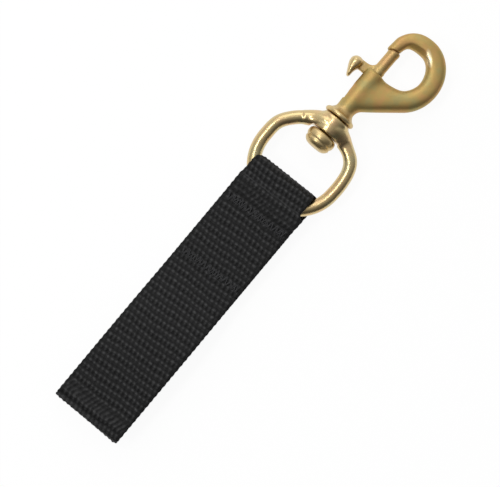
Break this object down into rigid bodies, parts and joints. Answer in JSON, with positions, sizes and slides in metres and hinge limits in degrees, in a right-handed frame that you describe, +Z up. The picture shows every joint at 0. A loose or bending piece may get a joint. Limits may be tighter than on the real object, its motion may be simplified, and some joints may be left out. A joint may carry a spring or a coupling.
{
  "type": "swivel snap hook",
  "caption": "Brass swivel snap hook with a sliding spring bolt and thumb lever, its round eye carrying a sewn webbing strap with an open belt loop.",
  "frame": {"origin": "centre of the swivel eye's opening, on the swivel's axis", "axes": "+Y along the swivel's axis towards the hook's bow, +X towards the bow's open side seen from above, +Z up from the surface that it lies on"},
  "size_m": [0.0367, 0.1682, 0.0112],
  "materials": {
    "cast_brass": "satin, tumbled casting",
    "turned_brass": "satin, turned",
    "spring_steel": "drawn wire",
    "webbing": "heavy ribbed weave, matt",
    "thread": "bonded sewing thread"
  },
  "bodies": {
    "eye_and_strap": {"swivel_eye": "cast_brass", "webbing_strap": "webbing", "stitching": "thread"},
    "hook": {"hook_body": "cast_brass", "bolt_spring": "spring_steel"},
    "bolt": {"bolt": "turned_brass"}
  },
  "joints": [
    {"name": "swivel", "type": "hinge", "parent": "eye_and_strap", "child": "hook", "pos_m": [0, 0.0152, 0], "axis": [0, 1, 0], "continuous": true},
    {"name": "bolt_slide", "type": "slide", "parent": "hook", "child": "bolt", "axis": [0, -1, 0], "range_m": [0, 0.0096], "stiffness_N_per_m": 400, "springref_m": -0.006, "deforming": ["bolt_spring"]}
  ]
}
